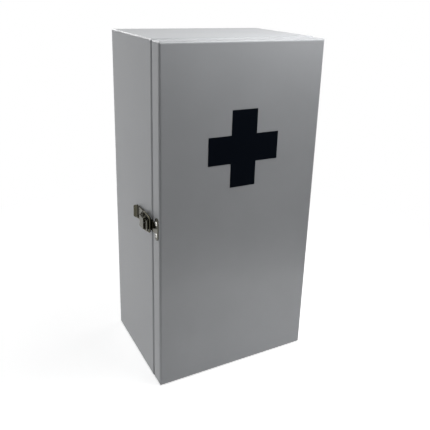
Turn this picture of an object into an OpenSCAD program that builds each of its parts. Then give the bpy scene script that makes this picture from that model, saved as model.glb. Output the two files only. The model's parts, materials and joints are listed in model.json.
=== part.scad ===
// Lockable medicine cabinet in folded sheet steel, with a side-mounted toggle latch.
// Units are millimetres. X runs to the right, Y to the back and Z up. The origin is
// the centre of the carcass's footprint, on its underside.

/* [Cabinet] */
// Width over the sides
cab_w = 200; // [170:1:320]
// Height over all
cab_h = 400; // [340:1:600]
// Depth from the door's face to the wall
cab_d = 148; // [125:1:240]
// Thickness of the sheet steel
sheet = 1; // [0.8:0.1:1.4]
// Outside radius of the folded edges
bend_r = 2.5; // [2:0.1:3.5]
// Width of the flanges folded in round the front and the back
flange_w = 12; // [10:0.5:16]
// Width of the mitre slit at each flange corner
slit_w = 0.5; // [0.3:0.1:0.8]

/* [Wall fixing] */
// Distance between the screw holes across
fix_span_x = 140; // [60:1:150]
// Distance between the screw holes up the back
fix_span_z = 320; // [120:1:330]
// Radius of a screw hole
fix_hole_r = 2.75; // [2:0.05:4]

/* [Door] */
// Thickness of the door
door_t = 19.5; // [18.5:0.5:26]
// Gap between the door and the carcass
door_gap = 1.5; // [1.3:0.1:2.5]
// Step at the top and bottom between the door and the carcass
door_step = 0.8; // [0.3:0.1:1.5]
// Width of the flange folded in round the back of the door
door_flange = 10; // [8:0.5:14]
// Radius of a rubber buffer
buffer_r = 4; // [3:0.5:5]
// Air between a buffer and the shut door
buffer_air = 0.3; // [0.1:0.1:0.5]
// Height of the buffers from the top and bottom
buffer_inset = 24; // [18:1:60]

/* [Cross] */
// Length of each bar
cross_span = 88; // [60:1:120]
// Width of each bar
cross_bar = 32; // [16:1:38]
// Distance from the top of the cabinet to the middle of the cross
cross_drop = 117.5; // [80:0.5:160]
// Thickness of the film
decal_t = 0.2; // [0.1:0.1:0.4]

/* [Shelves] */
// Height of the lower shelf's top face
shelf_low_z = 133; // [90:1:160]
// Height of the upper shelf's top face
shelf_high_z = 266; // [230:1:300]
// Depth of the lips folded down at the front and the back
shelf_lip = 12; // [8:0.5:20]
// Gap between a shelf and the carcass
shelf_gap = 0.6; // [0.3:0.1:1]
// Width of each leg of a shelf bracket
bracket_leg = 10; // [7:0.5:14]
// Length of a shelf bracket
bracket_l = 80; // [50:1:90]

/* [Hinges] */
// Height of a hinge
hinge_h = 44; // [36:1:60]
// Width of a leaf from the pin's axis
hinge_leaf_w = 15; // [13:0.5:15.5]
// Thickness of a leaf
hinge_leaf_t = 1.2; // [1:0.1:1.4]
// Radius of the hinge pin
hinge_pin_r = 1.25; // [1:0.05:1.4]
// Distance of each hinge's middle from the end of the cabinet
hinge_inset = 60; // [40:1:90]
// Distance of the rivets from the hinge's middle
hinge_rivet_dz = 14; // [9:0.5:14]

/* [Rivets] */
// Radius of the shank
rivet_r = 1.6; // [1.2:0.05:1.7]
// Radius of the head
rivet_head_r = 2.5; // [2.2:0.05:2.7]
// Height of the head
rivet_head_h = 0.8; // [0.6:0.05:1]
// Radius of the core left in the head
rivet_core_r = 0.85; // [0.6:0.05:1]
// Radius of the bulb behind the sheet
rivet_bulb_r = 2.3; // [2:0.05:2.5]
// Length of the bulb
rivet_bulb_l = 3; // [2:0.1:4]

/* [Latch] */
// Height of the latch's middle line
latch_z = 201; // [180:1:215]
// Thickness of the pressed latch sheet
latch_t = 1; // [0.8:0.1:1.2]
// Width of the lever's channel
lever_w = 13; // [12:0.5:14]
// Width of the lever's tail
tail_w = 16; // [14:0.5:17]
// Height of the lever's back over the cabinet's side
lever_top = 8.8; // [8.8:0.1:9.6]
// Distance of the lever's pin behind the door's face
pivot_y = 29; // [28.8:0.1:30]
// Height of the lever's pin over the cabinet's side
pivot_w = 5.2; // [5.1:0.1:5.4]
// Radius of the lever's pin
lever_pin_r = 1.1; // [0.9:0.05:1.2]
// Distance of the bail's eyes behind the lever's pin
link_y = 7.4; // [7:0.1:7.8]
// Distance of the bail's eyes below the lever's pin
link_w = 1.1; // [0.9:0.1:1.3]
// Radius of the bail's wire
bail_r = 1.1; // [0.9:0.05:1.2]
// Distance of the bail's bar behind the door's face
bar_y = 21; // [20:0.1:21.1]
// Height of the bail's bar over the cabinet's side
bar_w = 3; // [2.9:0.1:3.2]
// Length of the strike plate
strike_l = 25.5; // [25:0.5:29]
// Width of the strike plate
strike_w = 7.5; // [6.5:0.5:10]
// Thickness of the strike plate
strike_t = 1.2; // [1:0.1:1.2]
// Width of the strike's hook
hook_w = 12.5; // [10:0.5:13]
// Height of the hook's mouth over the cabinet's side
hook_mouth = 6; // [5.9:0.1:6.6]
// Width of the base plate
base_w = 13; // [12:0.5:15]
// Radius of the hole for the padlock's shackle
eye_r = 2.1; // [1.8:0.1:2.8]
// Thickness of the padlock eye
eye_t = 1.5; // [1.2:0.1:1.8]

/* [Hidden] */
$fn = 48;
tiny = 0.01;
bend_step = 18;     // most that a wire turns at one point, in degrees
wire_sides = 14;

// Clearances
fit_gap = 0.3;      // between faces that pass each other
run_gap = 0.05;     // round a pin that turns
hole_gap = 0.1;     // round a rivet's shank
pin_gap = 0.02;     // round the lever's pin in the ears
spare = 1;          // by which a cutting form runs past what it cuts

// Places along Y
face_y = -cab_d / 2;
wall_y = cab_d / 2;
door_back_y = face_y + door_t;
rim_y = door_back_y + door_gap;
carcass_d = wall_y - rim_y;
panel_y = wall_y - 2 * sheet;
side_x = cab_w / 2;
inner_r = bend_r - sheet;

// Hinges stand on the right side, with the axis in the middle of the door gap
hinge_knuckle_r = hinge_pin_r + run_gap + hinge_leaf_t;
hinge_x = side_x + hinge_knuckle_r;
hinge_y = rim_y - door_gap / 2;
hinge_rivet_y = hinge_leaf_w - rivet_head_r - 2 * fit_gap;
hinge_upper_z = cab_h - hinge_inset;
hinge_lower_z = hinge_inset;
hinge_places = [hinge_lower_z, hinge_upper_z];

// Latch, measured back from the door's face (y) and out from the cabinet's side (w)
link = [pivot_y + link_y, pivot_w - link_w];
bar = [bar_y, bar_w];
bail_l = norm(link - bar);
bail_tilt = atan2(link[1] - bar[1], link[0] - bar[0]);
lever_nose = 2.8;   // radius of the lever's end round the pin
lever_back = lever_top - latch_t / 2;
lever_steps = [9, 15, 34];  // bend, flat tail and lip, behind the pin
lever_lip = [3, 3.6];       // reach and rise of the finger lip
lever_bend_y = pivot_y + lever_steps[0];
lever_flat = [pivot_y + lever_steps[1], latch_t + fit_gap + latch_t / 2];
lever_lip_y = pivot_y + lever_steps[2];
lever_tip = [lever_lip_y + lever_lip[0], lever_flat[1] + lever_lip[1]];
lever_tip_r = 3;
lever_bend_r = 1.5;
boss_r = 2.5;
ear_wall = 1.2;     // round the lever's pin
ear_r = lever_pin_r + ear_wall;
eye_back = 17.5;    // behind the pin
eye_y = pivot_y + eye_back;
eye_wall = 1.5;     // round the shackle's hole
eye_half = eye_r + eye_wall;
eye_lift = 0.6;     // from the lever's tail to the edge of the shackle's hole
eye_w = lever_flat[1] + latch_t / 2 + eye_lift + eye_r;
slot_air = [0.4, 0.7, 0.75]; // in front of the eye, behind it and beside it
slot_front = eye_y - eye_half - slot_air[0];
slot_back = eye_y + eye_half + slot_air[1];
slot_half = eye_t / 2 + slot_air[2];
slot_r = 0.9;
base_reach = [3.5, 25];     // in front of the pin and behind it
base_front = pivot_y - base_reach[0];
base_back = pivot_y + base_reach[1];
base_corner_r = 2;
base_rivet_backs = [2.5, 9];
base_rivets = [for (back = base_rivet_backs) [pivot_y + back, 0]];
strike_front = 2.8;
strike_mid_y = strike_front + strike_w / 2;
strike_end_flat = 0.35;
strike_end_r = strike_w / 2 - strike_end_flat;
strike_rivet_z = 6.7;
hook_air = 0.4;     // behind the bail's bar, and between the tongue and the carcass
hook_back = bar_y + bail_r + hook_air;
hook_steps = [2, 5];        // start and end of the tongue's rise, behind the plate
hook_rise = [for (step = hook_steps) strike_front + strike_w + step];
hook_lip = 3.1;
hook_bend_r = 1.6;
bail_half = 10.4;
bail_bar_half = 8.6;
bail_straight = 5;
bail_bend_r = 1.7;
bail_overlap = 0.6; // of the straight end with the bent wire
bail_inside = 1;    // that the end stands past the cheek's inner face
bail_end = lever_w / 2;
bail_stub = bail_end - latch_t - bail_inside;
pin_head_r = 2;
pin_head_h = 0.7;

paint = "#cfd1d2";
nickel = "#6f6d64";

// ---- Flat shapes -----------------------------------------------------------

// Rectangle w by h round the origin with corners of radius r
module round_rect(w, h, r) {
  square([w - 2 * r, h], center = true);
  square([w, h - 2 * r], center = true);
  for (x = [-1, 1], y = [-1, 1])
    translate([x * (w / 2 - r), y * (h / 2 - r)]) circle(r);
}

// Rectangle w by h below the origin with its two upper corners rounded
module round_top(w, h, r) {
  translate([-w / 2, -h]) square([w, h - r]);
  translate([r - w / 2, -r]) square([w - 2 * r, r]);
  for (x = [-1, 1]) translate([x * (w / 2 - r), -r]) circle(r);
}

function unit(v) = v / norm(v);
function across(a, b) = let (u = unit(b - a)) [-u[1], u[0]];
function shifted(p, i, d) =
  let (n1 = i > 0 ? across(p[i - 1], p[i]) : across(p[0], p[1]),
       n2 = i < len(p) - 1 ? across(p[i], p[i + 1]) : n1)
  p[i] + d * (n1 + n2) / (1 + n1 * n2);

// Outline of a strip of thickness t whose middle line runs through the points p
function strip(p, t) = concat(
  [for (i = [0 : len(p) - 1]) shifted(p, i, t / 2)],
  [for (i = [len(p) - 1 : -1 : 0]) shifted(p, i, -t / 2)]);

// ---- Solids of sheet and wire ----------------------------------------------

// Block with every edge rounded, round the origin
module round_block(size, r) {
  intersection() {
    linear_extrude(size[2], center = true) round_rect(size[0], size[1], r);
    rotate([90, 0, 0]) linear_extrude(size[1], center = true)
      round_rect(size[0], size[2], r);
    rotate([90, 0, 90]) linear_extrude(size[0], center = true)
      round_rect(size[1], size[2], r);
  }
}

// Hollow folded pan of outside size, with a window at one or both ends of Y.
// rim is the width of the flange left round a window.
module folded_pan(size, rim, front, back) {
  window = [size[0] - 2 * rim, size[2] - 2 * rim];
  difference() {
    round_block(size, bend_r);
    round_block([for (s = size) s - 2 * sheet], inner_r);
    for (end = concat(front ? [-1] : [], back ? [1] : []))
      translate([0, end * (size[1] - sheet) / 2, 0]) rotate([90, 0, 0])
        linear_extrude(2 * sheet, center = true) {
          round_rect(window[0], window[1], inner_r);
          for (x = [-1, 1], z = [-1, 1])
            translate([x * window[0] / 2, z * window[1] / 2])
              rotate(45 * x * z) square([1.1 * rim, slit_w], center = true);
        }
  }
}

// Plate of thickness t lying on the latch's side at height w0; children draw in (y, z)
module side_plate(w0, t) {
  translate([-(w0 + t), 0, 0]) rotate([90, 0, 90]) linear_extrude(t) children();
}

// Pressing of width z, centred on the latch line, whose outline is given as (y, w)
module pressing(points, z) {
  linear_extrude(z, center = true) polygon([for (p = points) [-p[1], p[0]]]);
}

// Moves children to the latch's corner: the door's face, the left side, the latch line
module at_latch() {
  translate([-side_x, face_y, latch_z]) children();
}

// Round bar along Z at the latch coordinates p = (y, w)
module latch_bar(p, r, z0, z1) {
  translate([-p[1], p[0], z0]) cylinder(r = r, h = z1 - z0);
}

// Blind rivet standing on z = 0, with its grip and bulb below
module rivet(grip) {
  dome_r = (rivet_head_r * rivet_head_r + rivet_head_h * rivet_head_h) / (2 * rivet_head_h);
  difference() {
    union() {
      rotate_extrude() intersection() {
        translate([0, rivet_head_h - dome_r]) circle(dome_r, $fn = 128);
        square([rivet_head_r, rivet_head_h]);
      }
      translate([0, 0, -grip]) cylinder(r = rivet_r, h = grip + tiny);
      translate([0, 0, -grip - rivet_bulb_l]) cylinder(r = rivet_bulb_r, h = rivet_bulb_l);
    }
    translate([0, 0, rivet_head_h / 3]) cylinder(r = rivet_core_r, h = rivet_head_h);
  }
}

// Wire of radius r through the flat points p, bent at radius b, as one closed skin
module wire(p, r, b) {
  course = rounded(p, b);
  last = len(course) - 1;
  skin = [for (i = [0 : last], k = [0 : wire_sides - 1])
    let (a = 360 * k / wire_sides, q = shifted(course, i, r * cos(a))) [q[0], q[1], r * sin(a)]];
  sides = [for (i = [0 : last - 1], k = [0 : wire_sides - 1])
    let (n = (k + 1) % wire_sides, a = i * wire_sides, c = a + wire_sides)
      each [[a + k, c + k, c + n], [a + k, c + n, a + n]]];
  ends = [
    [for (k = [0 : wire_sides - 1]) k],
    [for (k = [wire_sides - 1 : -1 : 0]) last * wire_sides + k]];
  polyhedron(skin, concat(sides, ends));
}

// The points p with every corner between the ends bent round at radius b
function rounded(p, b) =
  concat([p[0]], [for (i = [1 : len(p) - 2]) each bend(p, i, b)], [p[len(p) - 1]]);

// Points that take corner i of p round, to either side, at radius b
function bend(p, i, b) =
  let (u = unit(p[i] - p[i - 1]), v = unit(p[i + 1] - p[i]),
       side = sign(u[0] * v[1] - u[1] * v[0]), turn = acos(min(1, u * v)),
       steps = ceil(turn / bend_step), left = side * [-u[1], u[0]],
       centre = p[i] - u * b * tan(turn / 2) + b * left)
  steps < 2 ? [p[i]]
  : [for (k = [0 : steps]) let (a = turn * k / steps) centre - b * cos(a) * left + b * sin(a) * u];

// ---- Carcass ---------------------------------------------------------------

// Folded wrapper: top, bottom and sides, with a flange round the front and the back
module carcass_shell() {
  color(paint) difference() {
    translate([0, (rim_y + wall_y) / 2, cab_h / 2])
      folded_pan([cab_w, carcass_d, cab_h], flange_w, true, true);
    for (z = hinge_places, dz = [-1, 1])
      translate([side_x, hinge_y + hinge_rivet_y, z + dz * hinge_rivet_dz])
        rivet_hole();
    at_latch() for (p = base_rivets) translate([0, p[0], p[1]]) rivet_hole();
  }
}

// Clearance hole along X for a rivet's shank
module rivet_hole() {
  rotate([0, 90, 0])
    cylinder(r = rivet_r + hole_gap, h = 4 * sheet + 2 * hinge_leaf_t, center = true);
}

// Plate welded against the back flange, with the four wall-fixing holes
module back_panel() {
  panel = [cab_w - 2 * bend_r - fit_gap, cab_h - 2 * bend_r - fit_gap];
  color(paint) translate([0, panel_y + sheet, cab_h / 2]) rotate([90, 0, 0])
    difference() {
      linear_extrude(sheet) round_rect(panel[0], panel[1], bend_r);
      for (x = [-1, 1], z = [-1, 1])
        translate([x * fix_span_x / 2, z * fix_span_z / 2, -sheet])
          cylinder(r = fix_hole_r, h = 3 * sheet);
    }
}

// Tray with its front and back edges folded down; z is the height of its top face
module shelf(z) {
  inside = [cab_w - 2 * sheet - 2 * shelf_gap, panel_y - rim_y - sheet - 2 * shelf_gap];
  color(paint)
    translate([-inside[0] / 2, (rim_y + sheet + panel_y) / 2, z])
      rotate([90, 0, 90]) linear_extrude(inside[0]) difference() {
        round_top(inside[1], shelf_lip, bend_r);
        translate([0, -sheet]) round_top(inside[1] - 2 * sheet, shelf_lip, inner_r);
      }
}

module lower_shelf() { shelf(shelf_low_z); }
module upper_shelf() { shelf(shelf_high_z); }

// Angle brackets, one at each side under each shelf
module shelf_brackets() {
  color(paint) for (z = [shelf_low_z, shelf_high_z], s = [-1, 1])
    translate([0, (rim_y + panel_y) / 2, z - sheet])
      rotate([90, 0, 0]) linear_extrude(bracket_l, center = true)
        scale_x(s) translate([side_x - sheet, 0]) difference() {
          translate([-bracket_leg, -bracket_leg]) square(bracket_leg);
          translate([-sheet - bracket_leg, -sheet - bracket_leg])
            round_corner(bracket_leg, inner_r);
        }
}

// Mirrors flat children to the left side where s is -1
module scale_x(s) {
  if (s < 0) mirror([1, 0]) children();
  else children();
}

// Square of side a with its upper right corner rounded
module round_corner(a, r) {
  square([a - r, a]);
  square([a, a - r]);
  translate([a - r, a - r]) circle(r);
}

// Rubber discs on the front flange, on the side where the door shuts
module door_buffers() {
  thick = door_gap - buffer_air;
  color("dimgray") for (z = [buffer_inset, cab_h - buffer_inset])
    translate([flange_w / 2 - side_x, rim_y, z]) rotate([90, 0, 0]) {
      cylinder(r = buffer_r, h = thick / 2);
      translate([0, 0, thick / 2])
        cylinder(r1 = buffer_r, r2 = buffer_r - thick / 2, h = thick / 2);
    }
}

// ---- Door ------------------------------------------------------------------

// Folded pan with its flange at the back
module door_skin() {
  color(paint) difference() {
    translate([0, (face_y + door_back_y) / 2, cab_h / 2])
      folded_pan([cab_w, door_t, cab_h - 2 * door_step], door_flange, false, true);
    for (z = hinge_places, dz = [-1, 1])
      translate([side_x, hinge_y - hinge_rivet_y, z + dz * hinge_rivet_dz])
        rivet_hole();
    at_latch() for (s = [-1, 1])
      translate([0, strike_mid_y, s * strike_rivet_z]) rivet_hole();
  }
}

// Inner plate welded against the door's flange
module door_liner() {
  panel = [cab_w - 2 * bend_r - fit_gap, cab_h - 2 * door_step - 2 * bend_r - fit_gap];
  color(paint) translate([0, door_back_y - sheet, cab_h / 2]) rotate([90, 0, 0])
    linear_extrude(sheet) round_rect(panel[0], panel[1], bend_r);
}

// Plain cross in dark film on the door's face
module cross_decal() {
  color("#0b1420") translate([0, face_y, cab_h - cross_drop]) rotate([90, 0, 0])
    linear_extrude(decal_t) {
      square([cross_span, cross_bar], center = true);
      square([cross_bar, cross_span], center = true);
    }
}

// ---- Hinges ----------------------------------------------------------------

// One leaf with its share of the three knuckles. side is 1 for the carcass's leaf,
// which has the outer knuckles, and -1 for the door's, which has the middle one.
module hinge_leaf(z, side) {
  knuckle_h = hinge_h / 3;
  mine = side > 0 ? [-1, 1] : [0];
  theirs = side > 0 ? [0] : [-1, 1];
  far = hinge_knuckle_r + fit_gap;
  color(nickel) translate([hinge_x, hinge_y, z]) difference() {
    union() {
      for (i = mine) translate([0, 0, i * knuckle_h])
        cylinder(r = hinge_knuckle_r, h = knuckle_h - 2 * run_gap, center = true);
      translate([-hinge_knuckle_r, side > 0 ? 0 : -hinge_leaf_w, -hinge_h / 2 + run_gap])
        cube([hinge_leaf_t, hinge_leaf_w, hinge_h - 2 * run_gap]);
    }
    for (i = theirs) translate([-far, -far, (i - 0.5) * knuckle_h - run_gap])
      cube([2 * far, 2 * far, knuckle_h + 2 * run_gap]);
    cylinder(r = hinge_pin_r + run_gap, h = 2 * hinge_h, center = true);
    for (dz = [-1, 1])
      translate([-hinge_knuckle_r, side * hinge_rivet_y, dz * hinge_rivet_dz])
        rivet_hole();
  }
}

// Pin with a shallow domed head at each end
module hinge_pin(z) {
  head_h = 0.8;
  color(nickel) translate([hinge_x, hinge_y, z]) {
    cylinder(r = hinge_pin_r, h = hinge_h, center = true);
    for (end = [0, 1]) mirror([0, 0, end]) translate([0, 0, hinge_h / 2])
      cylinder(r1 = hinge_knuckle_r - fit_gap, r2 = hinge_pin_r, h = head_h);
  }
}

module upper_hinge_frame_leaf() { hinge_leaf(hinge_upper_z, 1); }
module upper_hinge_door_leaf() { hinge_leaf(hinge_upper_z, -1); }
module upper_hinge_pin() { hinge_pin(hinge_upper_z); }
module lower_hinge_frame_leaf() { hinge_leaf(hinge_lower_z, 1); }
module lower_hinge_door_leaf() { hinge_leaf(hinge_lower_z, -1); }
module lower_hinge_pin() { hinge_pin(hinge_lower_z); }

// Rivets through the leaves; side is 1 for the carcass and -1 for the door
module hinge_rivets(side) {
  color(nickel) for (z = hinge_places, dz = [-1, 1])
    translate([side_x + hinge_leaf_t, hinge_y + side * hinge_rivet_y, z + dz * hinge_rivet_dz])
      rotate([0, 90, 0]) rivet(sheet + hinge_leaf_t);
}

module hinge_rivets_carcass() { hinge_rivets(1); }
module hinge_rivets_door() { hinge_rivets(-1); }

// ---- Toggle latch ----------------------------------------------------------

// Strike on the door's edge: a plate with a broad tongue that runs back over the door's
// gap, clear of the carcass, and turns up and forwards as the hook
module strike_plate() {
  m = strike_t / 2;
  course = [
    [strike_front - spare, m], [hook_rise[0], m], [hook_rise[1], m + hook_air],
    [hook_back + m, m + hook_air], [hook_back + m, hook_mouth + m],
    [hook_back - hook_lip, hook_mouth + m]];
  color(nickel) at_latch() difference() {
    intersection() {
      pressing(strip(rounded(course, hook_bend_r), strike_t), strike_l + 2 * spare);
      side_plate(-spare, 2 * lever_top) {
        translate([strike_mid_y, 0]) round_rect(strike_w, strike_l, strike_end_r);
        translate([strike_mid_y, -hook_w / 2]) square([hook_back, hook_w]);
      }
    }
    for (s = [-1, 1]) translate([0, strike_mid_y, s * strike_rivet_z]) rivet_hole();
  }
}

module strike_rivets() {
  color(nickel) at_latch() for (s = [-1, 1])
    translate([-strike_t, strike_mid_y, s * strike_rivet_z])
      rotate([0, -90, 0]) rivet(sheet + strike_t);
}

// Base plate with the two ears that hold the lever's pin, and the padlock eye
module latch_base() {
  color(nickel) at_latch() {
    difference() {
      side_plate(0, latch_t) translate([(base_back + base_front) / 2, 0])
        round_rect(base_back - base_front, base_w, base_corner_r);
      for (p = base_rivets) translate([0, p[0], p[1]]) rivet_hole();
    }
    for (s = [-1, 1]) translate([0, 0, s * ear_z()]) ear();
    difference() {
      linear_extrude(eye_t, center = true) {
        translate([-eye_w, eye_y]) circle(eye_half);
        translate([-eye_w, eye_y - eye_half]) square([eye_w - latch_t / 2, 2 * eye_half]);
      }
      latch_bar([eye_y, eye_w], eye_r, -eye_t, eye_t);
    }
  }
}

// Distance of an ear's middle plane from the latch line
function ear_z() = lever_w / 2 - latch_t - fit_gap - latch_t / 2;

// One ear, in the plane of the lever's side. Its front edge leans back, out of the way
// of the lever's nose when the lever stands open.
module ear() {
  toe = 1.4;
  heel = 3.4;
  difference() {
    linear_extrude(latch_t, center = true) {
      translate([-pivot_w, pivot_y]) circle(ear_r);
      polygon([
        [-latch_t / 2, pivot_y - toe], [-pivot_w, pivot_y - ear_r],
        [-pivot_w, pivot_y + ear_r], [-latch_t / 2, pivot_y + heel]]);
    }
    latch_bar([pivot_y, pivot_w], lever_pin_r + pin_gap, -latch_t, latch_t);
  }
}

module latch_rivets() {
  color(nickel) at_latch() for (p = base_rivets)
    translate([-latch_t, p[0], p[1]]) rotate([0, -90, 0]) rivet(sheet + latch_t);
}

// Pin through the ears and the lever, with a head at each end
module lever_pin() {
  reach = lever_w / 2 + hole_gap;
  color(nickel) at_latch() {
    latch_bar([pivot_y, pivot_w], lever_pin_r, -reach, reach);
    for (s = [0, 1]) mirror([0, 0, s])
      translate([-pivot_w, pivot_y, reach])
        cylinder(r1 = pin_head_r, r2 = lever_pin_r, h = pin_head_h);
  }
}

// Lever pressed from sheet: a channel over the pin, then a step down to a broad flat
// tail, which is slotted for the padlock eye and turns out into a finger lip
module latch_lever() {
  course = [
    [pivot_y - lever_nose, lever_back], [lever_bend_y, lever_back], lever_flat,
    [lever_lip_y, lever_flat[1]], lever_tip];
  color(nickel) at_latch() {
    difference() {
      intersection() {
        pressing(strip(rounded(course, lever_bend_r), latch_t), tail_w + 2 * spare);
        side_plate(0, 2 * lever_top) lever_plan();
      }
      side_plate(0, 2 * lever_top)
        translate([(slot_front + slot_back) / 2, 0])
          round_rect(slot_back - slot_front, 2 * slot_half, slot_r);
    }
    for (s = [-1, 1]) translate([0, 0, s * (lever_w - latch_t) / 2]) lever_cheek();
  }
}

// Plan of the lever, looking at the cabinet's side
module lever_plan() {
  flare = 4;
  flare_y = lever_flat[0] - flare;
  translate([0, -lever_w / 2]) square([lever_flat[0], lever_w]);
  polygon([
    [flare_y, -lever_w / 2], [lever_flat[0], -tail_w / 2],
    [lever_flat[0], tail_w / 2], [flare_y, lever_w / 2]]);
  translate([(lever_flat[0] + lever_tip[0] - lever_tip_r) / 2, 0])
    square([lever_tip[0] - lever_tip_r - lever_flat[0], tail_w], center = true);
  translate([lever_tip[0] - lever_tip_r, 0])
    round_rect(2 * lever_tip_r, tail_w, lever_tip_r - tiny);
}

// One side wall of the lever, with the holes for the pin and for the bail's end
module lever_cheek() {
  fade = 0.72;
  fade_y = lever_bend_y + fade * (lever_flat[0] - lever_bend_y);
  fade_w = lever_back + fade * (lever_flat[1] - lever_back);
  boss_turn = 50;
  boss_edge = boss_r * [cos(boss_turn), sin(boss_turn)];
  difference() {
    linear_extrude(latch_t, center = true) {
      translate([-pivot_w, pivot_y]) circle(lever_nose);
      translate([-link[1], link[0]]) circle(boss_r);
      polygon([
        [-pivot_w, pivot_y - lever_nose], [-lever_back, pivot_y - lever_nose],
        [-lever_back, lever_bend_y], [-fade_w, fade_y],
        [boss_edge[1] - link[1], link[0] + boss_edge[0]],
        [boss_r - link[1], link[0]], [lever_nose - pivot_w, pivot_y]]);
    }
    latch_bar([pivot_y, pivot_w], lever_pin_r + run_gap, -latch_t, latch_t);
    latch_bar(link, bail_r + run_gap, -latch_t, latch_t);
  }
}

// Wire loop: two round ends in the lever's cheeks, two arms, and the bar in the hook
module latch_bail() {
  path = [
    [0, bail_end], [0, bail_half], [-bail_straight, bail_half],
    [-bail_l, bail_bar_half], [-bail_l, -bail_bar_half],
    [-bail_straight, -bail_half], [0, -bail_half], [0, -bail_end]];
  color(nickel) at_latch() {
    translate([-link[1], link[0], 0]) rotate([0, 0, bail_tilt]) rotate([90, 0, 90])
      wire(path, bail_r - tiny, bail_bend_r);
    for (s = [0, 1]) mirror([0, 0, s]) latch_bar(link, bail_r, bail_stub, bail_end + bail_overlap);
  }
}

carcass_shell();
back_panel();
lower_shelf();
upper_shelf();
shelf_brackets();
door_buffers();
door_skin();
door_liner();
cross_decal();
upper_hinge_frame_leaf();
upper_hinge_door_leaf();
upper_hinge_pin();
lower_hinge_frame_leaf();
lower_hinge_door_leaf();
lower_hinge_pin();
hinge_rivets_carcass();
hinge_rivets_door();
strike_plate();
strike_rivets();
latch_base();
latch_rivets();
lever_pin();
latch_lever();
latch_bail();
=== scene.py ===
"""Lockable medicine cabinet in powder-coated sheet steel: its finishes, its fine metal
pieces, and the plain studio that it stands in. Lengths are metres, as in the frame."""

import json
import math

import bmesh
import bpy
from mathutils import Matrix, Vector


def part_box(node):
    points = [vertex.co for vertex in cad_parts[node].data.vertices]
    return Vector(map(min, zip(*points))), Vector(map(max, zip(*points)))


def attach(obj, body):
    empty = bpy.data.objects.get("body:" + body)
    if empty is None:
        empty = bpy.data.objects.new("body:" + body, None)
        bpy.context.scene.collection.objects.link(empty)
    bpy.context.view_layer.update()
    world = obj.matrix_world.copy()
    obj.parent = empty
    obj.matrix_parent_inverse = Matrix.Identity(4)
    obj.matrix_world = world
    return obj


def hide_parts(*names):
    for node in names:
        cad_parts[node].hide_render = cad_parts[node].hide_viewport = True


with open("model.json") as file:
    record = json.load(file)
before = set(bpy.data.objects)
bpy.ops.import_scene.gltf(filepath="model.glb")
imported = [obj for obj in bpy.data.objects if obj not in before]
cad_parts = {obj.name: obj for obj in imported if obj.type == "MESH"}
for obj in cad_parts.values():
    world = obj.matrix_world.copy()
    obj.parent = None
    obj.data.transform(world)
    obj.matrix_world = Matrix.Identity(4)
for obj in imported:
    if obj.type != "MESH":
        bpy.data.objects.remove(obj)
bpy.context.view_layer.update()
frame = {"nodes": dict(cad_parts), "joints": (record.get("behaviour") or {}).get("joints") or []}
nodes = frame["nodes"]

MM = 0.001
JOINTS = {joint["name"]: joint for joint in frame["joints"]}

# ---- Camera ---------------------------------------------------------------------------

# The photograph's viewpoint, worked out from the corners of the cabinet. Turns are degrees,
# lens and sensor are millimetres, and shifts are shares of the picture's width.
CAMERA_PLACE = (-0.2975, -0.5649, 0.4499)
CAMERA_TURN = (71.654, -1.699, -27.958)
CAMERA_LENS = 45.377
CAMERA_SENSOR = 36
CAMERA_SHIFT = (-0.0086, -0.1113)


def make_camera():
    data = bpy.data.cameras.new("camera")
    data.sensor_width = CAMERA_SENSOR
    data.lens = CAMERA_LENS
    data.shift_x, data.shift_y = CAMERA_SHIFT
    data.clip_start = 0.01
    camera = bpy.data.objects.new("camera", data)
    camera.location = CAMERA_PLACE
    camera.rotation_euler = [math.radians(turn) for turn in CAMERA_TURN]
    bpy.context.scene.collection.objects.link(camera)
    bpy.context.scene.camera = camera


# ---- Nodes and colours ----------------------------------------------------------------


def linear(code):
    """An sRGB hex colour as linear red, green, blue and alpha."""
    parts = [int(code[i : i + 2], 16) / 255 for i in (1, 3, 5)]
    return [c / 12.92 if c <= 0.04045 else ((c + 0.055) / 1.055) ** 2.4 for c in parts] + [1]


def add(tree, kind, inputs=None, **settings):
    """One node of a tree. An input's value is a number, a colour or another node's output."""
    node = tree.nodes.new(kind)
    for name, value in settings.items():
        setattr(node, name, value)
    for name, value in (inputs or {}).items():
        if isinstance(value, bpy.types.NodeSocket):
            tree.links.new(value, node.inputs[name])
        else:
            node.inputs[name].default_value = value
    return node


def new_material(name):
    material = bpy.data.materials.new(name)
    material.use_nodes = True
    material.node_tree.nodes.clear()
    return material, material.node_tree


def finish_material(tree, shader):
    add(tree, "ShaderNodeOutputMaterial", {"Surface": shader.outputs[0]})


# ---- Materials ------------------------------------------------------------------------

# Orange peel on powder coat has waves of about 1.2 mm, and is drawn a little coarser
PEEL_WAVE = 1.6 * MM
PEEL_HEIGHT = 0.06 * MM
# Cloudy change in the film's thickness, over about a hand's width
COAT_CLOUD = 70 * MM
# Grit that was caught in the powder before it was baked
COAT_GRIT = 0.5 * MM
# A noise pattern mostly stays between these two values
NOISE_LOW = 0.3
NOISE_HIGH = 0.7
# Below the first value a speck of grit is at its darkest, above the second there is none
GRIT_DARKEST = 0.25
GRIT_CLEAR = 0.42


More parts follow.
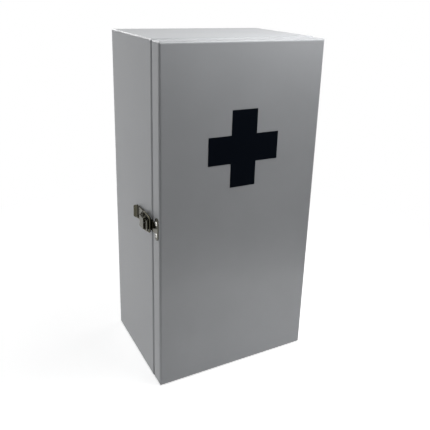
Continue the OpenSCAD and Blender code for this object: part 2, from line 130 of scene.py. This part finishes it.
def powder_coat():
    """Satin polyester powder coat on steel: an even, slightly cool grey skin, sprayed on as
    charged powder and baked, with fine orange peel and a soft broad sheen."""
    material, tree = new_material("polyester_powder_coat")
    place = add(tree, "ShaderNodeTexCoord").outputs["Object"]
    cloud = add(
        tree, "ShaderNodeTexNoise", {"Vector": place, "Scale": 1 / COAT_CLOUD, "Detail": 3.0}
    ).outputs["Fac"]
    grit = add(
        tree, "ShaderNodeTexNoise", {"Vector": place, "Scale": 1 / COAT_GRIT, "Detail": 1.0}
    ).outputs["Fac"]
    peel = add(
        tree, "ShaderNodeTexNoise", {"Vector": place, "Scale": 1 / PEEL_WAVE, "Detail": 2.0}
    ).outputs["Fac"]
    thick = add(
        tree, "ShaderNodeMapRange", {"Value": cloud, "From Min": NOISE_LOW, "From Max": NOISE_HIGH}
    ).outputs["Result"]
    clean = add(
        tree,
        "ShaderNodeMapRange",
        {"Value": grit, "From Min": GRIT_DARKEST, "From Max": GRIT_CLEAR},
    ).outputs["Result"]
    tone = add(
        tree,
        "ShaderNodeMix",
        {"Factor": thick, "A": linear("#A5A7AA"), "B": linear("#AAACAF")},
        data_type="RGBA",
    ).outputs["Result"]
    speck = add(
        tree,
        "ShaderNodeMix",
        {"Factor": clean, "A": linear("#EEEFEF"), "B": linear("#FFFFFF")},
        data_type="RGBA",
    ).outputs["Result"]
    colour = add(
        tree,
        "ShaderNodeMix",
        {"Factor": 1.0, "A": tone, "B": speck},
        data_type="RGBA",
        blend_type="MULTIPLY",
    ).outputs["Result"]
    sheen = add(tree, "ShaderNodeMix", {"Factor": thick, "A": 0.33, "B": 0.39}).outputs["Result"]
    bump = add(
        tree, "ShaderNodeBump", {"Height": peel, "Strength": 0.1, "Distance": PEEL_HEIGHT}
    )
    shader = add(
        tree,
        "ShaderNodeBsdfPrincipled",
        {
            "Base Color": colour,
            "Roughness": sheen,
            "Normal": bump.outputs["Normal"],
            "IOR": 1.5,
        },
    )
    finish_material(tree, shader)
    return material


# Marks left by the barrel in which small pressings are polished
TUMBLE_MARK = 1.5 * MM
TUMBLE_DEPTH = 0.03 * MM
# Fine lines that the mill's rolls leave along the strip before it is pressed
ROLL_LINE = 0.15 * MM
ROLL_DEPTH = 0.02 * MM
# The lines run along Y and are this much narrower than they are long
ROLL_NARROWNESS = 0.06


def nickel_plate():
    """Nickel plated on tumbled steel pressings: an olive-grey mirror, slightly
    hazed, with faint rolling lines and a duller film in the hollows. Its base colour is
    painted dark: a painted reflection of a dark room, which the white studio lacks."""
    material, tree = new_material("dark_nickel_plated_steel")
    place = add(tree, "ShaderNodeTexCoord").outputs["Object"]
    stretched = add(
        tree, "ShaderNodeMapping", {"Vector": place, "Scale": (1.0, ROLL_NARROWNESS, 1.0)}
    ).outputs["Vector"]
    lines = add(
        tree, "ShaderNodeTexNoise", {"Vector": stretched, "Scale": 1 / ROLL_LINE, "Detail": 2.0}
    ).outputs["Fac"]
    marks = add(
        tree, "ShaderNodeTexNoise", {"Vector": place, "Scale": 1 / TUMBLE_MARK, "Detail": 4.0}
    ).outputs["Fac"]
    polish = add(
        tree, "ShaderNodeMapRange", {"Value": marks, "From Min": NOISE_LOW, "From Max": NOISE_HIGH}
    ).outputs["Result"]
    # Painted reflection: the metal's colour is kept dark to stand in for the dark surroundings that
    # a real room's mirror image would show
    colour = add(
        tree,
        "ShaderNodeMix",
        {"Factor": polish, "A": linear("#464539"), "B": linear("#56544A")},
        data_type="RGBA",
    ).outputs["Result"]
    haze = add(tree, "ShaderNodeMix", {"Factor": polish, "A": 0.22, "B": 0.15}).outputs["Result"]
    dents = add(
        tree, "ShaderNodeBump", {"Height": marks, "Strength": 0.2, "Distance": TUMBLE_DEPTH}
    )
    drawn = add(
        tree,
        "ShaderNodeBump",
        {
            "Height": lines,
            "Strength": 0.15,
            "Distance": ROLL_DEPTH,
            "Normal": dents.outputs["Normal"],
        },
    )
    shader = add(
        tree,
        "ShaderNodeBsdfPrincipled",
        {
            "Base Color": colour,
            "Metallic": 1.0,
            "Roughness": haze,
            "Normal": drawn.outputs["Normal"],
        },
    )
    finish_material(tree, shader)
    return material


# Spangle of the thin zinc on a rivet
ZINC_MOTTLE = 0.8 * MM
# Crystals in the torn end of the mandrel
TORN_GRAIN = 0.25 * MM
TORN_DEPTH = 0.08 * MM


def zinc_plate():
    """Bright zinc on blind rivets: a paler, cooler and duller metal than the nickel, with
    a fine mottle."""
    material, tree = new_material("zinc_plated_rivet_steel")
    place = add(tree, "ShaderNodeTexCoord").outputs["Object"]
    mottle = add(
        tree, "ShaderNodeTexNoise", {"Vector": place, "Scale": 1 / ZINC_MOTTLE, "Detail": 3.0}
    ).outputs["Fac"]
    bright = add(
        tree, "ShaderNodeMapRange", {"Value": mottle, "From Min": NOISE_LOW, "From Max": NOISE_HIGH}
    ).outputs["Result"]
    colour = add(
        tree,
        "ShaderNodeMix",
        {"Factor": bright, "A": linear("#B5B5B2"), "B": linear("#D2D1CC")},
        data_type="RGBA",
    ).outputs["Result"]
    haze = add(tree, "ShaderNodeMix", {"Factor": bright, "A": 0.36, "B": 0.26}).outputs["Result"]
    shader = add(
        tree,
        "ShaderNodeBsdfPrincipled",
        {"Base Color": colour, "Metallic": 1.0, "Roughness": haze},
    )
    finish_material(tree, shader)
    return material


def broken_steel():
    """The snapped end of a rivet's mandrel: dark, grainy, unplated steel."""
    material, tree = new_material("snapped_mandrel_steel")
    place = add(tree, "ShaderNodeTexCoord").outputs["Object"]
    grain = add(
        tree, "ShaderNodeTexNoise", {"Vector": place, "Scale": 1 / TORN_GRAIN, "Detail": 3.0}
    ).outputs["Fac"]
    torn = add(
        tree, "ShaderNodeMapRange", {"Value": grain, "From Min": NOISE_LOW, "From Max": NOISE_HIGH}
    ).outputs["Result"]
    colour = add(
        tree,
        "ShaderNodeMix",
        {"Factor": torn, "A": linear("#26231F"), "B": linear("#4A453E")},
        data_type="RGBA",
    ).outputs["Result"]
    bump = add(
        tree, "ShaderNodeBump", {"Height": grain, "Strength": 0.6, "Distance": TORN_DEPTH}
    )
    shader = add(
        tree,
        "ShaderNodeBsdfPrincipled",
        {
            "Base Color": colour,
            "Metallic": 1.0,
            "Roughness": 0.55,
            "Normal": bump.outputs["Normal"],
        },
    )
    finish_material(tree, shader)
    return material


# Grain that the release paper leaves in the film
FILM_GRAIN = 0.6 * MM
# The paint's peel, as much of it as comes through the film
FILM_PEEL_HEIGHT = 0.04 * MM


def vinyl_film():
    """Cast vinyl film, cut and pressed onto the paint: near-black navy, matt, with the
    grain of the release paper and the paint's peel coming through faintly."""
    material, tree = new_material("matt_vinyl_film")
    place = add(tree, "ShaderNodeTexCoord").outputs["Object"]
    grain = add(
        tree, "ShaderNodeTexNoise", {"Vector": place, "Scale": 1 / FILM_GRAIN, "Detail": 2.0}
    ).outputs["Fac"]
    peel = add(
        tree, "ShaderNodeTexNoise", {"Vector": place, "Scale": 1 / PEEL_WAVE, "Detail": 2.0}
    ).outputs["Fac"]
    worn = add(
        tree, "ShaderNodeMapRange", {"Value": grain, "From Min": NOISE_LOW, "From Max": NOISE_HIGH}
    ).outputs["Result"]
    colour = add(
        tree,
        "ShaderNodeMix",
        {"Factor": worn, "A": linear("#03070E"), "B": linear("#050A13")},
        data_type="RGBA",
    ).outputs["Result"]
    bump = add(
        tree, "ShaderNodeBump", {"Height": peel, "Strength": 0.2, "Distance": FILM_PEEL_HEIGHT}
    )
    shader = add(
        tree,
        "ShaderNodeBsdfPrincipled",
        {
            "Base Color": colour,
            "Roughness": 0.75,
            "IOR": 1.45,
            "Specular IOR Level": 0.04,
            "Normal": bump.outputs["Normal"],
        },
    )
    finish_material(tree, shader)
    return material


# Bloom shows from the first value of its noise and is full at the second
BLOOM_NONE = 0.35
BLOOM_FULL = 0.75
BLOOM_PATCH = 1.2 * MM
BLOOM_HEIGHT = 0.05 * MM


def moulded_rubber():
    """Moulded nitrile rubber with chalky bloom: dark grey, dry to the touch, no shine."""
    material, tree = new_material("moulded_rubber")
    place = add(tree, "ShaderNodeTexCoord").outputs["Object"]
    bloom = add(
        tree, "ShaderNodeTexNoise", {"Vector": place, "Scale": 1 / BLOOM_PATCH, "Detail": 4.0}
    ).outputs["Fac"]
    chalk = add(
        tree, "ShaderNodeMapRange", {"Value": bloom, "From Min": BLOOM_NONE, "From Max": BLOOM_FULL}
    ).outputs["Result"]
    colour = add(
        tree,
        "ShaderNodeMix",
        {"Factor": chalk, "A": linear("#26272A"), "B": linear("#3A3B3E")},
        data_type="RGBA",
    ).outputs["Result"]
    bump = add(
        tree, "ShaderNodeBump", {"Height": bloom, "Strength": 0.3, "Distance": BLOOM_HEIGHT}
    )
    shader = add(
        tree,
        "ShaderNodeBsdfPrincipled",
        {
            "Base Color": colour,
            "Roughness": 0.82,
            "IOR": 1.5,
            "Normal": bump.outputs["Normal"],
        },
    )
    finish_material(tree, shader)
    return material


def paint_nodes(material, *names):
    """Gives CAD nodes their finish and leaves their form alone."""
    for name in names:
        nodes[name].data.materials.clear()
        nodes[name].data.materials.append(material)


# ---- Meshes ---------------------------------------------------------------------------


def link(name, mesh):
    piece = bpy.data.objects.new(name, mesh)
    bpy.context.scene.collection.objects.link(piece)
    return piece


def baked(piece):
    """Turns a piece with modifiers into a plain mesh at the origin."""
    bpy.context.view_layer.update()
    evaluated = piece.evaluated_get(bpy.context.evaluated_depsgraph_get())
    mesh = bpy.data.meshes.new_from_object(evaluated)
    name = piece.name
    mesh.name = name
    bpy.data.objects.remove(piece)
    return link(name, mesh)


# Corners nearer to each other than this are one corner
SEW_DISTANCE = 0.002 * MM
# Faces that turn less than this lie in one plane
FLAT_TURN = math.radians(0.5)


def merged_copy(name):
    """The CAD node's mesh with its triangles sewn together and its flat faces joined."""
    shell = bmesh.new()
    shell.from_mesh(nodes[name].data)
    bmesh.ops.remove_doubles(shell, verts=shell.verts, dist=SEW_DISTANCE)
    bmesh.ops.dissolve_limit(
        shell,
        angle_limit=FLAT_TURN,
        verts=shell.verts,
        edges=shell.edges,
        use_dissolve_boundaries=False,
    )
    return shell


# Tumbling rounds the pressings' edges by this much
EDGE_ROUND = 0.18 * MM
EDGE_STEPS = 2
# An edge that turns less than this is part of a bend and is left as it is
SHARP_TURN = math.radians(32)


def soften(name, body, material):
    """Stands for a CAD node with the same form, its burred edges rounded over."""
    shell = merged_copy(name)
    mesh = bpy.data.meshes.new("soft_" + name)
    shell.to_mesh(mesh)
    shell.free()
    piece = link("soft_" + name, mesh)
    bevel = piece.modifiers.new("edges", "BEVEL")
    bevel.width = EDGE_ROUND
    bevel.segments = EDGE_STEPS
    bevel.limit_method = "ANGLE"
    bevel.angle_limit = SHARP_TURN
    bevel.use_clamp_overlap = True
    piece = baked(piece)
    for face in piece.data.polygons:
        face.use_smooth = True
    weighted = piece.modifiers.new("normals", "WEIGHTED_NORMAL")
    weighted.keep_sharp = True
    piece.data.materials.clear()
    piece.data.materials.append(material)
    piece = baked(piece)
    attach(piece, body)
    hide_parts(name)


def solids_of(name):
    """Lowest and highest corner of each separate solid of a CAD node."""
    shell = merged_copy(name)
    seen = set()
    corners = []
    for first in shell.verts:
        if first in seen:
            continue
        seen.add(first)
        waiting = [first]
        solid = []
        while waiting:
            point = waiting.pop()
            solid.append(point.co.copy())
            for edge in point.link_edges:
                other = edge.other_vert(point)
                if other not in seen:
                    seen.add(other)
                    waiting.append(other)
        low = Vector(min(p[i] for p in solid) for i in range(3))
        high = Vector(max(p[i] for p in solid) for i in range(3))
        corners.append((low, high))
    shell.free()
    return corners


LATHE_SIDES = 40


def lathe(name, profile):
    """A turned form: (radius, height) points spun about Z, closed at both ends."""
    form = bmesh.new()
    rings = []
    for radius, height in profile:
        if radius == 0:
            rings.append([form.verts.new((0, 0, height))])
            continue
        turns = [2 * math.pi * i / LATHE_SIDES for i in range(LATHE_SIDES)]
        spots = [(radius * math.cos(turn), radius * math.sin(turn), height) for turn in turns]
        rings.append([form.verts.new(spot) for spot in spots])
    for low, high in zip(rings, rings[1:]):
        for i in range(LATHE_SIDES):
            j = (i + 1) % LATHE_SIDES
            below = [low[i % len(low)], low[j % len(low)]]
            above = [high[j % len(high)], high[i % len(high)]]
            # Where a ring is a single point, its repeat drops out and a triangle stays
            form.faces.new(list(dict.fromkeys(below + above)))
    bmesh.ops.recalc_face_normals(form, faces=form.faces)
    for face in form.faces:
        face.smooth = True
    mesh = bpy.data.meshes.new(name)
    form.to_mesh(mesh)
    form.free()
    return mesh


# ---- Geometry Nodes -------------------------------------------------------------------


def new_tree(name, sockets):
    """A Geometry Nodes tree with a geometry input and output, and the named inputs."""
    tree = bpy.data.node_groups.new(name, "GeometryNodeTree")
    ends = tree.interface
    ends.new_socket("Geometry", in_out="INPUT", socket_type="NodeSocketGeometry")
    for label, kind in sockets.items():
        ends.new_socket(label, in_out="INPUT", socket_type="NodeSocket" + kind)
    ends.new_socket("Geometry", in_out="OUTPUT", socket_type="NodeSocketGeometry")
    return tree, add(tree, "NodeGroupInput").outputs


def grow(piece, tree, values):
    """Puts the tree on the piece, sets its inputs and bakes the result."""
    modifier = piece.modifiers.new(tree.name, "NODES")
    modifier.node_group = tree
    for item in tree.interface.items_tree:
        if item.in_out == "INPUT" and item.name in values:
            modifier[item.identifier] = values[item.name]
    return baked(piece)


def rivet_tree():
    """Sets one rivet on every point, with its head along the point's head_axis."""
    tree, given = new_tree(
        "rivets_on_points", {"Rivet": "Object", "Skin": "Material", "Core": "Material"}
    )
    rivet = add(tree, "GeometryNodeObjectInfo", {"Object": given["Rivet"]})
    axis = add(
        tree, "GeometryNodeInputNamedAttribute", {"Name": "head_axis"}, data_type="FLOAT_VECTOR"
    )
    turn = add(
        tree, "FunctionNodeAlignRotationToVector", {"Vector": axis.outputs["Attribute"]}, axis="Z"
    )
    placed = add(
        tree,
        "GeometryNodeInstanceOnPoints",
        {
            "Points": given["Geometry"],
            "Instance": rivet.outputs["Geometry"],
            "Rotation": turn.outputs["Rotation"],
        },
    )
    solid = add(tree, "GeometryNodeRealizeInstances", {"Geometry": placed.outputs["Instances"]})
    plated = add(
        tree,
        "GeometryNodeSetMaterial",
        {"Geometry": solid.outputs["Geometry"], "Material": given["Skin"]},
    )
    core = add(tree, "GeometryNodeInputNamedAttribute", {"Name": "in_bore"}, data_type="BOOLEAN")
    cored = add(
        tree,
        "GeometryNodeSetMaterial",
        {
            "Geometry": plated.outputs["Geometry"],
            "Selection": core.outputs["Attribute"],
            "Material": given["Core"],
        },
    )
    add(tree, "NodeGroupOutput", {"Geometry": cored.outputs["Geometry"]})
    return tree


def wire_tree():
    """Bends round wire along a path: rounds its corners and skins it."""
    tree, given = new_tree(
        "wire_along_path",
        {
            "Wire radius": "Float",
            "Bend radius": "Float",
            "Bend steps": "Int",
            "Sides": "Int",
            "Finish": "Material",
        },
    )
    course = add(tree, "GeometryNodeMeshToCurve", {"Mesh": given["Geometry"]})
    bent = add(
        tree,
        "GeometryNodeFilletCurve",
        {
            "Curve": course.outputs["Curve"],
            "Count": given["Bend steps"],
            "Radius": given["Bend radius"],
            "Limit Radius": True,
        },
        mode="POLY",
    )
    section = add(
        tree,
        "GeometryNodeCurvePrimitiveCircle",
        {"Resolution": given["Sides"], "Radius": given["Wire radius"]},
        mode="RADIUS",
    )
    skin = add(
        tree,
        "GeometryNodeCurveToMesh",
        {
            "Curve": bent.outputs["Curve"],
            "Profile Curve": section.outputs["Curve"],
            "Fill Caps": True,
        },
    )
    solid = add(tree, "GeometryNodeRealizeInstances", {"Geometry": skin.outputs["Mesh"]})
    coated = add(
        tree,
        "GeometryNodeSetMaterial",
        {"Geometry": solid.outputs["Geometry"], "Material": given["Finish"]},
    )
    add(tree, "NodeGroupOutput", {"Geometry": coated.outputs["Geometry"]})
    return tree


# ---- Rivets ---------------------------------------------------------------------------

RIVET_HEAD_H = 0.8 * MM
RIVET_SHANK_R = 1.6 * MM
RIVET_BULB_L = 3.0 * MM
# The bore in the head, as a share of the head's radius
RIVET_BORE_SHARE = 0.34
# The dome is drawn every few degrees, from near its middle to its rim
DOME_START = 18
DOME_STEP = 9
DOME_POINTS = 9
# The dome springs from this share of the head's height
DOME_SPRING = 0.12
LEFT, RIGHT = -1, 1


def blind_rivet(name, head_r, length):
    """One set blind rivet: domed head with the snapped mandrel in its bore, shank, bulb.
    Its seat is at z = 0 and length is its reach from the head's top to the bulb's end."""
    height = RIVET_HEAD_H
    bulb = RIVET_BULB_L
    bore = RIVET_BORE_SHARE * head_r
    grip = length - height - bulb
    mandrel_end = [(0, 0.30 * height), (0.6 * bore, 0.34 * height), (0.9 * bore, 0.22 * height)]
    mouth = [(bore, 0.30 * height), (bore, 0.86 * height), (1.1 * bore, 0.94 * height)]
    angles = [math.radians(DOME_START + DOME_STEP * i) for i in range(DOME_POINTS)]
    rise = 1 - DOME_SPRING
    dome = [(head_r * math.sin(a), height * (DOME_SPRING + rise * math.cos(a))) for a in angles]
    rim = [(head_r, 0.06 * height), (0.985 * head_r, 0)]
    shank = [(RIVET_SHANK_R, 0), (RIVET_SHANK_R, -grip)]
    blown = [(0.90 * head_r, -grip - 0.25 * bulb), (0.92 * head_r, -grip - 0.55 * bulb)]
    tail = [(0.72 * head_r, -grip - 0.92 * bulb), (0.66 * head_r, -grip - bulb), (0, -grip - bulb)]
    outside_mouth = [point for point in dome if point[0] > 1.15 * bore]
    mesh = lathe(name, mandrel_end + mouth + outside_mouth + rim + shank + blown + tail)
    centres = [face.center for face in mesh.polygons]
    in_bore = mesh.attributes.new("in_bore", "BOOLEAN", "FACE")
    in_bore.data.foreach_set("value", [math.hypot(c.x, c.y) < bore and c.z > 0 for c in centres])
    return link(name, mesh)


def set_rivets(name, body, sources, tree, zinc, mandrel):
    """All blind rivets of one body. sources maps a CAD node to the side its heads face."""
    plain = [(side, *ends) for source, side in sources.items() for ends in solids_of(source)]
    length = max(high.x - low.x for _, low, high in plain)
    head_r = max(high.z - low.z for _, low, high in plain) / 2
    seats = []
    for side, low, high in plain:
        middle = (low + high) / 2
        outer = high.x if side == RIGHT else low.x
        seats.append((outer - side * RIVET_HEAD_H, middle.y, middle.z))
    mesh = bpy.data.meshes.new(name)
    mesh.from_pydata(seats, [], [])
    axis = mesh.attributes.new("head_axis", "FLOAT_VECTOR", "POINT")
    axis.data.foreach_set("vector", [c for side, _, _ in plain for c in (side, 0, 0)])
    pattern = blind_rivet("rivet_pattern", head_r, length)
    piece = grow(link(name, mesh), tree, {"Rivet": pattern, "Skin": zinc, "Core": mandrel})
    bpy.data.objects.remove(pattern)
    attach(piece, body)
    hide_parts(*sources)


# ---- Bail -----------------------------------------------------------------------------

BAIL_BEND = 1.7 * MM
BAIL_BEND_STEPS = 10
BAIL_SIDES = 28
# The arms run straight from the eyes for this length, and then draw in to the bar
BAIL_STRAIGHT = 5 * MM
BAIL_BAR_HALF = 8.6 * MM
# How near the wire's two ends come to the latch's middle
BAIL_END_HALF = 4.5 * MM
# The bar lies this much nearer the cabinet's side than the eyes
BAIL_DROP = 1.1 * MM


def bend_bail(nickel):
    """The wire loop, from its two ends in the lever's cheeks to the bar in the hook."""
    eye = Vector(JOINTS["bail_pivot"]["pos_m"])
    low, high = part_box("latch_bail")
    radius = high.y - eye.y
    arm_half = (high.z - low.z) / 2 - radius
    along = Vector((BAIL_DROP, low.y + radius - eye.y, 0))
    step = along.normalized()
    half_course = [
        (0, BAIL_END_HALF),
        (0, arm_half),
        (BAIL_STRAIGHT, arm_half),
        (along.length, BAIL_BAR_HALF),
    ]
    course = [eye + step * s + Vector((0, 0, z)) for s, z in half_course]
    course += [eye + step * s - Vector((0, 0, z)) for s, z in reversed(half_course)]
    mesh = bpy.data.meshes.new("bail_wire")
    mesh.from_pydata(course, [(i, i + 1) for i in range(len(course) - 1)], [])
    sizes = {
        "Wire radius": radius,
        "Bend radius": BAIL_BEND,
        "Bend steps": BAIL_BEND_STEPS,
        "Sides": BAIL_SIDES,
        "Finish": nickel,
    }
    piece = grow(link("bail_wire", mesh), wire_tree(), sizes)
    for face in piece.data.polygons:
        face.use_smooth = len(face.vertices) == 4
    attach(piece, "bail")
    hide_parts("latch_bail")


# ---- Studio ---------------------------------------------------------------------------

FLOOR_SPAN = 12
# Light added to the floor where it is seen, so that lit paper reads as white
FLOOR_LIFT = 0.72
# The shadow on the paper fades out between these distances from the cabinet's middle
SHADOW_REACH = (0.22, 0.60)
WHITE = (1, 1, 1, 1)
# The white room's strength as a light
ROOM_LIGHT = 0.008
# Each softbox: place, point that it faces, width, height and power in watts
SOFTBOXES = {
    "back": ((-0.12, 1.1, 0.8), (-0.02, 0.0, 0.38), 0.35, 0.35, 2.1),
    "far_right": ((1.75, 0.40, 0.60), (0.1, 0.05, 0.2), 1.0, 1.0, 8.0),
    "left": ((-1.55, 0.65, 0.65), (-0.1, 0.05, 0.2), 1.1, 1.2, 9.912),
    "right": ((0.45, -0.4, 0.5), (0.08, -0.07, 0.33), 0.3, 0.3, 0.401),
    "right_top": ((0.3, -0.22, 0.6), (0.09, -0.07, 0.37), 0.2, 0.2, 0.224),
    "overhead": ((0.36, -0.15, 1.27), (0.0, -0.07, 0.40), 0.3, 0.15, 1.3),
    "top_strip": ((0.1, -0.16, 0.62), (0.05, -0.05, 0.4), 0.3, 0.15, 1.0),
    "low_strip": ((0.04, -0.22, 0.02), (0.0, -0.07, 0.04), 0.35, 0.05, 0.059),
}


def seen_directly(tree):
    """1 for a ray from the camera, or for one mirrored or let through by the object."""
    path = add(tree, "ShaderNodeLightPath").outputs
    shiny = add(
        tree,
        "ShaderNodeMath",
        {0: path["Is Camera Ray"], 1: path["Is Glossy Ray"]},
        operation="MAXIMUM",
    )
    return add(
        tree,
        "ShaderNodeMath",
        {0: shiny.outputs["Value"], 1: path["Is Transmission Ray"]},
        operation="MAXIMUM",
    ).outputs["Value"]


def make_floor():
    """White paper that keeps the cabinet's shadow and reads as white where it is lit."""
    material, tree = new_material("white_paper_sweep")
    paper = add(tree, "ShaderNodeBsdfDiffuse", {"Color": linear("#F2F2F2")})
    glow = add(tree, "ShaderNodeEmission", {"Color": WHITE, "Strength": FLOOR_LIFT})
    lifted = add(tree, "ShaderNodeAddShader", {0: paper.outputs[0], 1: glow.outputs[0]})
    white = add(tree, "ShaderNodeEmission", {"Color": WHITE, "Strength": 1.0})
    place = add(tree, "ShaderNodeTexCoord").outputs["Object"]
    reach = add(tree, "ShaderNodeVectorMath", {0: place}, operation="LENGTH").outputs["Value"]
    far = add(
        tree,
        "ShaderNodeMapRange",
        {"Value": reach, "From Min": SHADOW_REACH[0], "From Max": SHADOW_REACH[1]},
        interpolation_type="SMOOTHSTEP",
    )
    faded = add(
        tree,
        "ShaderNodeMixShader",
        {0: far.outputs["Result"], 1: lifted.outputs[0], 2: white.outputs[0]},
    )
    shown = add(
        tree,
        "ShaderNodeMixShader",
        {0: seen_directly(tree), 1: paper.outputs[0], 2: faded.outputs[0]},
    )
    finish_material(tree, shown)
    half = FLOOR_SPAN / 2
    mesh = bpy.data.meshes.new("floor")
    corners = [(-half, -half, 0), (half, -half, 0), (half, half, 0), (-half, half, 0)]
    mesh.from_pydata(corners, [], [(0, 1, 2, 3)])
    mesh.materials.append(material)
    link("floor", mesh)


def make_world():
    """An even white room: full white where it is seen, dimmer as a light."""
    world = bpy.data.worlds.new("white_room")
    world.use_nodes = True
    tree = world.node_tree
    tree.nodes.clear()
    seen = add(tree, "ShaderNodeBackground", {"Color": WHITE, "Strength": 1.0})
    light = add(tree, "ShaderNodeBackground", {"Color": WHITE, "Strength": ROOM_LIGHT})
    mixed = add(
        tree,
        "ShaderNodeMixShader",
        {0: seen_directly(tree), 1: light.outputs[0], 2: seen.outputs[0]},
    )
    add(tree, "ShaderNodeOutputWorld", {"Surface": mixed.outputs[0]})
    bpy.context.scene.world = world


def make_lamps():
    for name, (place, target, width, height, power) in SOFTBOXES.items():
        data = bpy.data.lights.new(name, "AREA")
        data.shape = "RECTANGLE"
        data.size, data.size_y = width, height
        data.energy = power
        lamp = bpy.data.objects.new(name, data)
        lamp.location = place
        lamp.visible_camera = False
        lamp.rotation_euler = (Vector(target) - Vector(place)).to_track_quat("-Z", "Y").to_euler()
        bpy.context.scene.collection.objects.link(lamp)


# ---- Cabinet --------------------------------------------------------------------------

bpy.context.scene.view_settings.view_transform = "Standard"
make_camera()
make_world()
make_floor()
make_lamps()

coat = powder_coat()
nickel = nickel_plate()
zinc = zinc_plate()
mandrel = broken_steel()
paint_nodes(
    coat,
    "carcass_shell",
    "back_panel",
    "lower_shelf",
    "upper_shelf",
    "shelf_brackets",
    "door_skin",
    "door_liner",
)
paint_nodes(vinyl_film(), "cross_decal")
paint_nodes(moulded_rubber(), "door_buffers")

soften("latch_lever", "lever", nickel)
soften("latch_base", "carcass", nickel)
soften("lever_pin", "carcass", nickel)
soften("strike_plate", "door", nickel)
for end in ("upper", "lower"):
    soften(end + "_hinge_frame_leaf", "carcass", nickel)
    soften(end + "_hinge_door_leaf", "door", nickel)
    soften(end + "_hinge_pin", "carcass", nickel)

bend_bail(nickel)

rivets = rivet_tree()
carcass_heads = {"latch_rivets": LEFT, "hinge_rivets_carcass": RIGHT}
door_heads = {"strike_rivets": LEFT, "hinge_rivets_door": RIGHT}
set_rivets("carcass_rivets", "carcass", carcass_heads, rivets, zinc, mandrel)
set_rivets("door_rivets", "door", door_heads, rivets, zinc, mandrel)
